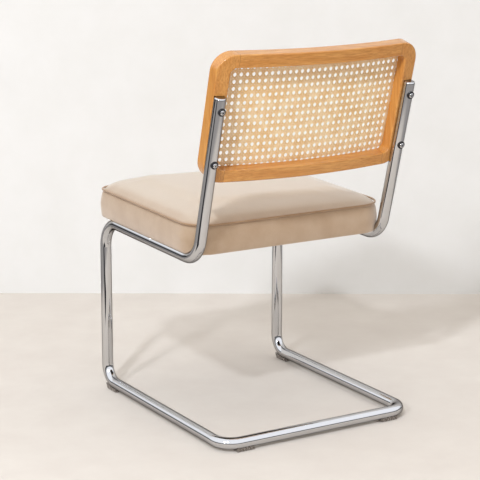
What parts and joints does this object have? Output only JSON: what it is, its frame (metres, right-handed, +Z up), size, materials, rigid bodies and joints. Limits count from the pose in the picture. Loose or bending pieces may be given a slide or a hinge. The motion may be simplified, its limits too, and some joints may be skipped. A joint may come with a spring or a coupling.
{
  "type": "cantilever chair",
  "caption": "Cantilever dining chair: a springy bent-tube frame carries a padded, piped seat and a bowed wooden back with a caned panel.",
  "frame": {"origin": "on the floor, below the middle of the chair's box", "axes": "+Z up, -Y the way the sitter faces, +X to the sitter's left"},
  "size_m": [0.4884, 0.5574, 0.825],
  "materials": {
    "chromed_steel": "bright polished chrome plate",
    "plain_steel": "zinc-plated steel",
    "brass_insert": "turned brass",
    "clear_plastic": "clear smoky-grey moulded plastic",
    "black_plastic": "moulded black plastic",
    "beech": "clear-lacquered honey beech, satin",
    "cane": "natural woven cane, matt",
    "plywood": "raw plywood",
    "seat_foam": "open-cell foam",
    "beige_velvet": "short-pile beige upholstery fabric",
    "tan_piping": "tan corded piping",
    "dust_cloth": "thin black non-woven cloth"
  },
  "bodies": {
    "root": {"lower_frame": "chromed_steel", "left_back_tube": "chromed_steel", "right_back_tube": "chromed_steel", "left_tube_cap": "chromed_steel", "right_tube_cap": "chromed_steel", "back_screws": "chromed_steel", "left_splice_sleeve": "plain_steel", "right_splice_sleeve": "plain_steel", "splice_screws": "plain_steel", "seat_screws": "plain_steel", "seat_tee_nuts": "plain_steel", "back_inserts": "brass_insert", "front_left_glide": "clear_plastic", "front_right_glide": "clear_plastic", "rear_left_glide": "clear_plastic", "rear_right_glide": "clear_plastic", "back_saddle_washers": "black_plastic", "back_left_stile": "beech", "back_right_stile": "beech", "back_top_rail": "beech", "back_bottom_rail": "beech", "back_dowels": "beech", "cane_panel": "cane", "cane_spline": "cane", "seat_board": "plywood", "seat_foam": "seat_foam", "seat_top_cover": "beige_velvet", "seat_side_band": "beige_velvet", "seat_piping": "tan_piping", "seat_dust_cover": "dust_cloth"}
  },
  "joints": []
}
